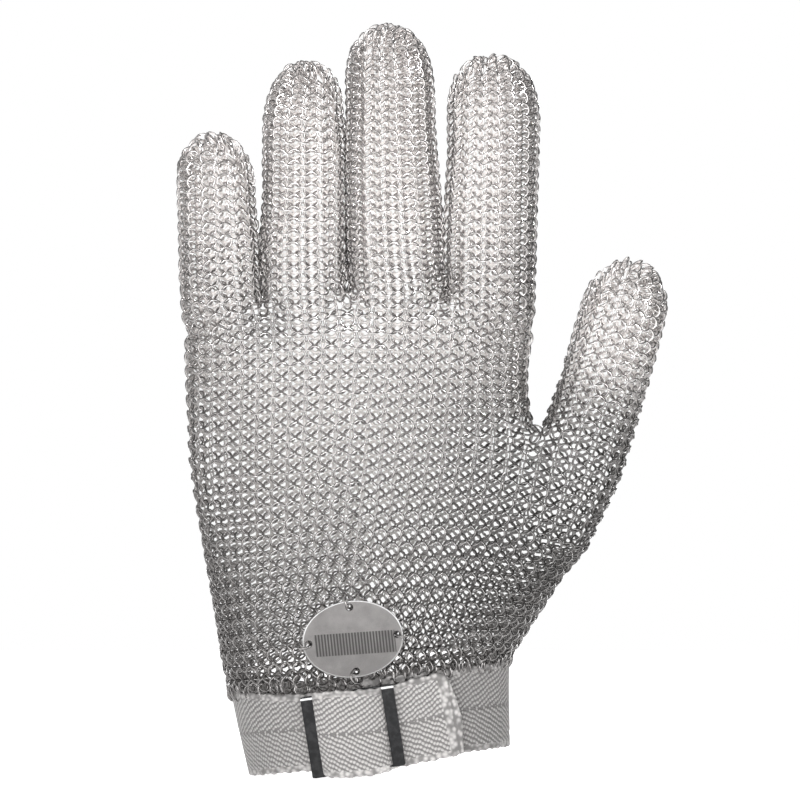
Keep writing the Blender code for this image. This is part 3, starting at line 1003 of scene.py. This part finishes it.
def link_turns(u, v, n, lean, yaw):
    """Turns for links whose plane holds the row direction and leans off the net."""
    u = unit(u - n * np.sum(u * n, axis=1, keepdims=True))
    v = np.cross(n, u)
    climb = v * np.cos(lean)[:, None] + n * np.sin(lean)[:, None]
    # yaw turns the link about its climb, so that one side of it comes forward
    turned = u * np.cos(yaw)[:, None] + np.cross(u, climb) * np.sin(yaw)[:, None]
    return [turn_of(x, y, np.cross(x, y)) for x, y in zip(turned, climb)]


# ---- Geometry Nodes ----
LINK_INPUTS = (
    ("Geometry", "Geometry"), ("Ring Radius", "Float"), ("Wire Radius", "Float"),
    ("Looseness", "Float"), ("Seed", "Int"), ("Finish", "Material"),
)


def link_tree():
    """A ring of wire on every point, turned by the point's own turn and a little by chance."""
    made = bpy.data.node_groups.get("mail links")
    if made:
        return made
    tree = bpy.data.node_groups.new("mail links", "GeometryNodeTree")
    tree.is_modifier = True
    for name, kind in LINK_INPUTS:
        tree.interface.new_socket(name, in_out="INPUT", socket_type=f"NodeSocket{kind}")
    tree.interface.new_socket("Geometry", in_out="OUTPUT", socket_type="NodeSocketGeometry")
    graph = Graph(tree)
    sockets = tree.nodes.new("NodeGroupInput").outputs
    given = {socket.name: Value(graph, socket) for socket in sockets}
    circle = "GeometryNodeCurvePrimitiveCircle"
    ring = graph.node(circle, {}, Resolution=14, Radius=given["Ring Radius"])
    wire = graph.node(circle, {}, Resolution=4, Radius=given["Wire Radius"])
    sweep = graph.node("GeometryNodeCurveToMesh", {}, Curve=ring, Profile_Curve=wire)
    link = graph.node("GeometryNodeSetShadeSmooth", {}, Geometry=sweep, Shade_Smooth=True)
    turn = graph.node("GeometryNodeInputNamedAttribute", {"data_type": "QUATERNION"}, Name="turn")
    most = graph.node("ShaderNodeCombineXYZ", {}, *[given["Looseness"]] * 3)
    least = graph.node("ShaderNodeCombineXYZ", {}, *[0.0 - given["Looseness"]] * 3)
    vector = {"data_type": "FLOAT_VECTOR"}
    chance = graph.node("FunctionNodeRandomValue", vector, least, most, Seed=given["Seed"])
    nudge = graph.node("FunctionNodeEulerToRotation", {}, chance)
    turned = graph.node("FunctionNodeRotateRotation", {"rotation_space": "LOCAL"}, turn, nudge)
    hung = {"Points": given["Geometry"], "Instance": link, "Rotation": turned}
    links = graph.node("GeometryNodeInstanceOnPoints", {}, **hung)
    real = graph.node("GeometryNodeRealizeInstances", {}, links)
    painted = graph.node("GeometryNodeSetMaterial", {}, Geometry=real, Material=given["Finish"])
    tree.links.new(painted.socket, tree.nodes.new("NodeGroupOutput").inputs[0])
    return tree


def hang_links(name, points, turns, outward, finish):
    """A piece of mail from link places, turns and the ways out of the glove."""
    mail = settings("mail")
    mesh = bpy.data.meshes.new(name)
    mesh.vertices.add(len(points))
    mesh.vertices.foreach_set("co", np.asarray(points, dtype=np.float32).ravel())
    store(mesh, "turn", "QUATERNION", turns)
    store(mesh, "outward", "FLOAT_VECTOR", outward)
    piece = new_piece(name, mesh)
    step = piece.modifiers.new("links", "NODES")
    step.node_group = link_tree()
    sizes = {
        "Ring Radius": mail.ring_radius, "Wire Radius": mail.wire,
        "Looseness": mail.looseness, "Seed": mail.seed, "Finish": finish,
    }
    for item in step.node_group.interface.items_tree:
        if item.in_out == "INPUT" and item.name in sizes:
            step[item.identifier] = sizes[item.name]
    return applied(piece)


def steel_of_mail():
    return bpy.data.materials.get("ring_wire") or mail_steel()


def place_links(pieces, points, frames, homes, odd):
    """Adds a link at each point to its piece of mail; the odd ones are at the quads' middles."""
    mail = settings("mail")
    u, v, n = frames
    n = unit(n)
    wide, high = np.linalg.norm(u, axis=1), np.linalg.norm(v, axis=1)
    if odd:
        lean = -(mail.odd_lean + TIGHT_LEAN * np.clip((TIGHT_ROW - high) / MM, 0.0, TIGHTEST))
    else:
        lean = np.full(len(points), mail.even_lean)
    # links at the sides lie flatter, so that the outline stays close
    lean = lean * (SIDE_LEAN + (1.0 - SIDE_LEAN) * np.abs(n[:, 1]))
    # where the columns are closer than a link is wide, it stands turned between its neighbours
    squeeze = np.arccos(np.clip(wide / (2.0 * (mail.ring_radius + mail.wire)), NARROWEST, 1.0))
    side = np.sign(-n[:, 1]) * np.sign(points[:, 0] - CREST)
    turns = link_turns(u, v, n, lean, squeeze * side)
    for k, home in enumerate(homes):
        if odd and (wide[k] * high[k] < SMALLEST_QUAD or n[k, 2] > STEEPEST):
            continue
        name = home.removesuffix("_tip")
        if name in ("hand", "palm"):
            name = "hand_front" if n[k, 1] < 0.0 else "hand_back"
        pieces.setdefault(f"{name}_mail", []).append((points[k], turns[k], n[k]))


# ---- operators ----
class GLOVE_OT_mail(bpy.types.Operator):
    """Hang the links of the hand, the fingers and the thumb"""

    bl_idname = "glove.mail"
    bl_label = "Link mail"

    def execute(self, context):
        net = Net()
        net.relax()
        net.swell()
        pieces = {}
        place_links(pieces, net.points, net.knot_frames(), net.home, odd=False)
        middles = net.points[net.quads].mean(axis=1)
        place_links(pieces, middles, net.frames(), net.quad_tube, odd=True)
        for name, links in pieces.items():
            piece = hang_links(name, *zip(*links), steel_of_mail())
            nodes = (f"mail_{name.removesuffix('_mail')}",)
            if name.startswith("hand"):
                nodes = ("mail_hand", "mail_knuckles")
            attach(piece, "root")
            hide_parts(*nodes)
        return {"FINISHED"}


def strap_stations():
    """Sections of the webbing from its hidden end round the wrist to its free end."""
    first = front_angle(STRAP_START)
    last = front_angle(THREAD[0][0]) + 2.0 * math.pi
    angles = [first + (last - first) * step / LOOP_STEPS for step in range(LOOP_STEPS)]
    stations = [(angle, 0.0, 0.0, STRAP_WIDTH, STRAP_THICK) for angle in angles]
    stations += [(front_angle(across) + 2.0 * math.pi, *section) for across, *section in THREAD]
    return np.array(stations)


def strap_run(step):
    """The webbing's sections at even steps along it, eased where they change."""
    stations = strap_stations()
    fine = np.linspace(stations[0, 0], stations[-1, 0], RUN_SAMPLES)
    columns = [np.interp(fine, stations[:, 0], stations[:, k]) for k in range(1, 5)]
    lifts = columns[0] + STRAP_THICK / 2.0
    line = np.array([level_point(angle, lift, RUN_HEIGHT) for angle, lift in zip(fine, lifts)])
    run = np.concatenate(([0.0], np.cumsum(np.linalg.norm(np.diff(line, axis=0), axis=1))))
    even = np.linspace(0.0, run[-1], int(run[-1] / step) + 1)
    eased = []
    for column, length in zip(columns, EASINGS):
        values = np.interp(even, run, column)
        reach = max(1, int(length / step))
        for _ in range(2):
            padded = np.pad(values, reach, mode="edge")
            values = np.convolve(padded, np.ones(2 * reach + 1) / (2 * reach + 1), mode="valid")
        eased.append(values)
    return even, np.interp(even, run, fine), eased


def waves(rows, s, share=1.0):
    return sum(far * math.sin(s * pace + start * share) for far, pace, start in rows)


def rounding(inward, radius):
    """How full a round edge is at a distance in from it, from 0 to 1."""
    return math.sqrt(1.0 - (1.0 - min(inward, radius) / radius) ** 2)


def webbing_mesh(name, wave):
    """The strap as one closed band. Its "run" is along, out from the spine and in from an edge."""
    even, angles, (lifts, lows, tops, thicks) = strap_run(RUN_STEP)
    rim = np.array(RIM_SHARES)
    shares = np.concatenate((rim, np.linspace(*FLAT_SHARES, FLAT_STEPS), 1.0 - rim[::-1]))
    points, run, tail = [], [], []
    for s, angle, lift, low, top, thick in zip(even, angles, lifts, lows, tops, thicks):
        low += wave * waves(LOWER_WAVES, s)
        top += wave * waves(UPPER_WAVES, s)
        width = top - low
        spine = max(width, STRAP_WIDTH) / 2.0
        thin = max(THIN_END, rounding(min(s, even[-1] - s), END_ROUND))
        for side, picked in ((1.0, shares), (-1.0, shares[-2:0:-1])):
            for share in picked:
                edge = min(share, 1.0 - share) * width
                full = rounding(edge, EDGE_ROUND)
                out = lift + waves(RIPPLES, s, share) + thick / 2.0 * (1.0 + side * full * thin)
                points.append(wrist_point(angle, out, low + share * width) * MM)
                run.append((s * MM, (share * width - spine) * MM, edge * MM))
                tail.append((even[-1] - s) * MM)
    columns, ring = len(shares), 2 * len(shares) - 2
    last = len(points) - ring
    faces = []
    for base in range(0, last, ring):
        for j in range(ring):
            n = (j + 1) % ring
            faces.append((base + j, base + ring + j, base + ring + n, base + n))
    for base, turned in ((0, True), (last, False)):
        for j in range(columns - 1):
            across = (j, j + 1, (ring - j - 1) % ring, (ring - j) % ring)
            corners = [base + place for place in dict.fromkeys(across)]
            faces.append(corners if turned else corners[::-1])
    mesh = bpy.data.meshes.new(name)
    mesh.from_pydata(points, [], faces)
    store(mesh, "run", "FLOAT_VECTOR", run)
    store(mesh, "tail", "FLOAT", tail)
    mesh.shade_smooth()
    return mesh


class GLOVE_OT_strap(bpy.types.Operator):
    """Weave the webbing of the wrist strap"""

    bl_idname = "glove.strap"
    bl_label = "Wrist strap"

    def execute(self, context):
        mesh = webbing_mesh("wrist_webbing", settings("strap").edge_wave / MM)
        piece = new_piece("wrist_webbing", mesh, white_webbing())
        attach(piece, "root")
        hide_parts("wrist_strap")
        return {"FINISHED"}


def slider_place():
    """From the plate's own plane, x across and z up, to its place over the webbing."""
    ends = [front_angle(SLIDER_MIDDLE + side * SLIDER_BARS) for side in (-1.0, 1.0)]
    left, right = (level_point(angle, SLIDER_LIFT, THREADED_WIDTH / 2.0) for angle in ends)
    middle = (left + right) / 2.0 - Vector((0.0, 0.0, SLIDER_DROP))
    turn = Matrix.Rotation(math.atan2(right.y - left.y, right.x - left.x), 4, "Z")
    lean = Matrix.Rotation(math.atan(STRAP_FLARE), 4, "X")
    twist = Matrix.Rotation(-SLIDER_TURN, 4, "Y")
    return Matrix.Rotation(-STRAP_TILT, 4, "Y") @ Matrix.Translation(middle) @ turn @ lean @ twist


class GLOVE_OT_slider(bpy.types.Operator):
    """Cut the slider plate that gathers the strap"""

    bl_idname = "glove.slider"
    bl_label = "Strap slider"

    def execute(self, context):
        slider = settings("slider")
        half = SLIDER_BARS + BAR_WIDTH / 2.0
        slot_high = THREADED_WIDTH / 2.0 + SLOT_GAP
        tall = slot_high + RAIL_WIDTH
        slot_in, slot_out = BAR_WIDTH / 2.0, SLIDER_BARS - BAR_WIDTH / 2.0
        ramp = slot_out - RAIL_SLOPE
        across = (-half, -slot_out, -ramp, -slot_in, slot_in, ramp, slot_out, half)
        up = (-tall, -slot_high, slot_high, tall)
        slots = [(i, 1) for i in (1, 2, 4, 5)]
        bm = bmesh.new()
        grid = [[bm.verts.new((x, -SLIDER_THICK, z)) for z in up] for x in across]
        for i in range(len(across) - 1):
            for j in range(len(up) - 1):
                if (i, j) not in slots:
                    bm.faces.new((grid[i][j], grid[i + 1][j], grid[i + 1][j + 1], grid[i][j + 1]))
        thicken(bm, SLIDER_THICK)
        # the rails lie back under the webbing that crosses them
        for vert in bm.verts:
            if vert.co.y < -0.1 and abs(vert.co.x) < ramp + 0.01:
                vert.co.y += RAIL_DROP

        def outermost(vert):
            return abs(abs(vert.co.x) - half) < 0.01 and abs(abs(vert.co.z) - tall) < 0.01

        corners = [
            e for e in bm.edges
            if all(map(outermost, e.verts)) and abs(e.verts[0].co.y - e.verts[1].co.y) > 0.5
        ]
        corner = slider.corner / MM
        bmesh.ops.bevel(bm, geom=corners, offset=corner, segments=4, profile=0.5, affect="EDGES")
        piece = plate("slider_plate", bm, slider_steel(tall), slider_place(), slider.edge, 3)
        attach(piece, "root")
        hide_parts("strap_slider")
        return {"FINISHED"}


def tag_turn():
    """From the tag's own plane, x across and z up, to its place on the mail."""
    turn = Matrix.Rotation(TAG_TURN, 4, "Z") @ Matrix.Rotation(-STRAP_TILT, 4, "Y")
    return Matrix.Translation(TAG_PLACE) @ turn @ Matrix.Rotation(-TAG_LEAN, 4, "X")


def tag_holes():
    out_x, out_z = TAG_HALF_WIDTH - TAG_HOLE_INSET, TAG_HALF_HEIGHT - TAG_HOLE_INSET
    return ((out_x, 0.0), (0.0, out_z), (-out_x, 0.0), (0.0, -out_z))


class GLOVE_OT_tag(bpy.types.Operator):
    """Stamp the oval tag"""

    bl_idname = "glove.tag"
    bl_label = "Tag"

    def execute(self, context):
        bm = bmesh.new()
        rims = [((0.0, 0.0), TAG_HALF_WIDTH, TAG_HALF_HEIGHT, 96)]
        rims += [(hole, TAG_HOLE, TAG_HOLE, 20) for hole in tag_holes()]
        edges = []
        for (x, z), wide, high, sides in rims:
            rim = []
            for k in range(sides):
                angle = 2.0 * math.pi * k / sides
                place = (x + wide * math.cos(angle), -TAG_THICK, z + high * math.sin(angle))
                rim.append(bm.verts.new(place))
            edges += [bm.edges.new((rim[k], rim[(k + 1) % sides])) for k in range(sides)]
        bmesh.ops.triangle_fill(bm, use_beauty=True, edges=edges)
        thicken(bm, TAG_THICK)
        piece = plate("oval_tag", bm, tag_steel(), tag_turn(), settings("tag").edge, 2)
        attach(piece, "root")
        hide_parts("tag_plate")
        return {"FINISHED"}


def strap_links(chance):
    """Loose links along the strap's upper edge, as (place, turn, way out)."""
    for k in range(EDGE_LINKS):
        angle = 2.0 * math.pi * (k + 0.5) / EDGE_LINKS
        here = wrist_point(angle, EDGE_LIFT, STRAP_WIDTH - 0.5)
        ahead = (wrist_point(angle + 0.01, EDGE_LIFT, STRAP_WIDTH - 0.5) - here).normalized()
        up = (wrist_point(angle, EDGE_LIFT, STRAP_WIDTH + 1.0) - here).normalized()
        out = ahead.cross(up)
        swing = math.radians(chance.choice((-1, 1)) * chance.uniform(*EDGE_SWING))
        level = out * math.cos(swing) + ahead * math.sin(swing)
        turn = turn_of(level, up, level.cross(up))
        yield (here + up * chance.uniform(*EDGE_SHIFT)) * MM, turn, out


def tag_links():
    """The links in the tag's holes, as (place, turn, way out)."""
    frame_turn = tag_turn()
    across, out, up = (frame_turn.to_3x3().col[k] for k in range(3))
    for (x, z), swing in zip(tag_holes(), map(math.radians, TAG_LINK_SWINGS)):
        length = math.hypot(x, z)
        radial = (across * x + up * z) / length
        stand = out * math.cos(swing) + radial.cross(out) * math.sin(swing)
        further = 1.0 + 1.5 / length
        middle = frame_turn @ Vector((x * further, -TAG_THICK / 2.0, z * further))
        yield middle * MM, turn_of(radial, stand, radial.cross(stand)), -out


class GLOVE_OT_edge(bpy.types.Operator):
    """Hook the mail to the strap's upper edge and to the tag's holes"""

    bl_idname = "glove.edge"
    bl_label = "Edge links"

    def execute(self, context):
        links = [*strap_links(random.Random(settings("mail").seed)), *tag_links()]
        piece = hang_links("edge_links", *zip(*links), steel_of_mail())
        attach(piece, "root")
        return {"FINISHED"}


def add_lamp(kind, name, place, target, power, **options):
    """A lamp at a place, turned to its target."""
    light = bpy.data.lights.new(name, kind)
    light.energy = power
    for option, value in options.items():
        setattr(light, option, value)
    lamp = bpy.data.objects.new(name, light)
    bpy.context.scene.collection.objects.link(lamp)
    lamp.location = place
    lamp.rotation_euler = (Vector(target) - Vector(place)).to_track_quat("-Z", "Y").to_euler()


def add_softbox(name, place, target, size, power):
    add_lamp("AREA", name, place, target, power, shape="RECTANGLE", size=size[0], size_y=size[1])


def studio(stage):
    """White all round to the eye; what the metal mirrors is dark above and bright below."""
    world = bpy.data.worlds.new("studio")
    bpy.context.scene.world = world
    world.use_nodes = True
    room = Graph(world.node_tree)
    way = room.node("ShaderNodeTexCoord", output="Generated")
    levels = (
        (0.36, stage.below), (0.47, stage.level), (0.58, stage.level), (0.82, stage.above),
        (0.93, stage.above), (0.97, stage.overhead),
    )
    stops = {"stops": [(position, (light,) * 3) for position, light in levels]}
    shade = room.node("ShaderNodeValToRGB", stops, way.part(2) * 0.5 + 0.5)
    # the thumb's side of the room is dimmer
    side = 1.0 - 0.75 * way.part(0).above(0.0, 0.6)
    mirrored = room.node("ShaderNodeBackground", {}, Color=shade, Strength=side)
    paper = room.node("ShaderNodeBackground", {}, Color=(1.0, 1.0, 1.0), Strength=1.0)
    seen = room.node("ShaderNodeLightPath", output="Is Camera Ray")
    both = room.node("ShaderNodeMixShader", {}, seen, mirrored, paper)
    room.tree.links.new(both.socket, room.tree.nodes["World Output"].inputs["Surface"])


class GLOVE_OT_stage(bpy.types.Operator):
    """Set the floor, the lights and the camera"""

    bl_idname = "glove.stage"
    bl_label = "Stage"

    def execute(self, context):
        stage = settings("stage")
        scene = context.scene
        low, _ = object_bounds()
        bpy.ops.mesh.primitive_plane_add(size=3.0, location=(0.0, 0.0, low.z - 0.2 * MM))
        floor = context.active_object
        floor.name = "floor"
        white = Shader("floor_white", Base_Color=(0.9, 0.9, 0.9), Roughness=0.9)
        white.set(Emission_Color=(1.0, 1.0, 1.0), Emission_Strength=stage.floor_glow)
        floor.data.materials.append(white.material)
        floor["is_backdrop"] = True
        studio(stage)
        add_softbox("front fill", (-0.3, -1.2, 0.5), (0.0, 0.0, 0.1), (0.6, 0.6), 1.5)
        palm, fingers = (0.0, 0.0, 0.10), (0.016, 0.0, 0.178)
        soft = {"spot_size": math.radians(9.0), "spot_blend": 1.0, "shadow_soft_size": 0.06}
        for side in (-1.0, 1.0):
            add_softbox("near strip", (0.03, 0.17 * side, 0.004), palm, (0.5, 0.03), 0.17)
            add_softbox("far strip", (0.05, 0.42 * side, 0.004), palm, (0.6, 0.05), 0.6)
            # a soft-edged cone of light for the fingers alone
            add_lamp("SPOT", "finger lamp", (0.15, 1.6 * side, 0.30), fingers, 130.0, **soft)
        camera = bpy.data.objects.new("camera", bpy.data.cameras.new("camera"))
        scene.collection.objects.link(camera)
        camera.location = (CAMERA_ACROSS, -stage.distance, CAMERA_UP)
        camera.rotation_euler = (math.radians(90.0), 0.0, 0.0)
        camera.data.lens = stage.lens
        camera.data.sensor_width = 36.0
        scene.camera = camera
        scene.view_settings.view_transform = "Standard"
        return {"FINISHED"}


class GLOVE_PT_panel(bpy.types.Panel):
    bl_label = "Chainmail glove"
    bl_idname = "GLOVE_PT_panel"
    bl_space_type = "VIEW_3D"
    bl_region_type = "UI"
    bl_category = "Glove"

    def draw(self, context):
        for name in GROUPS:
            box = self.layout.box()
            group = settings(name)
            for field in group.__annotations__:
                box.prop(group, field)
            box.operator(f"glove.{name}")
        self.layout.operator("glove.edge")


GROUPS = {
    "mail": GloveMailSettings, "strap": GloveStrapSettings, "slider": GloveSliderSettings,
    "tag": GloveTagSettings, "stage": GloveStageSettings,
}
OPERATORS = (
    GLOVE_OT_mail, GLOVE_OT_strap, GLOVE_OT_slider, GLOVE_OT_tag, GLOVE_OT_edge, GLOVE_OT_stage,
)


def register():
    for item in (*GROUPS.values(), *OPERATORS, GLOVE_PT_panel):
        bpy.utils.register_class(item)
    for name, group in GROUPS.items():
        setattr(bpy.types.Scene, f"glove_{name}", PointerProperty(type=group))


def unregister():
    for name in GROUPS:
        delattr(bpy.types.Scene, f"glove_{name}")
    for item in reversed((*GROUPS.values(), *OPERATORS, GLOVE_PT_panel)):
        bpy.utils.unregister_class(item)


def main():
    register()
    bpy.ops.glove.mail()
    bpy.ops.glove.strap()
    bpy.ops.glove.slider()
    bpy.ops.glove.tag()
    bpy.ops.glove.edge()
    bpy.ops.glove.stage()


if __name__ == "__main__":
    main()
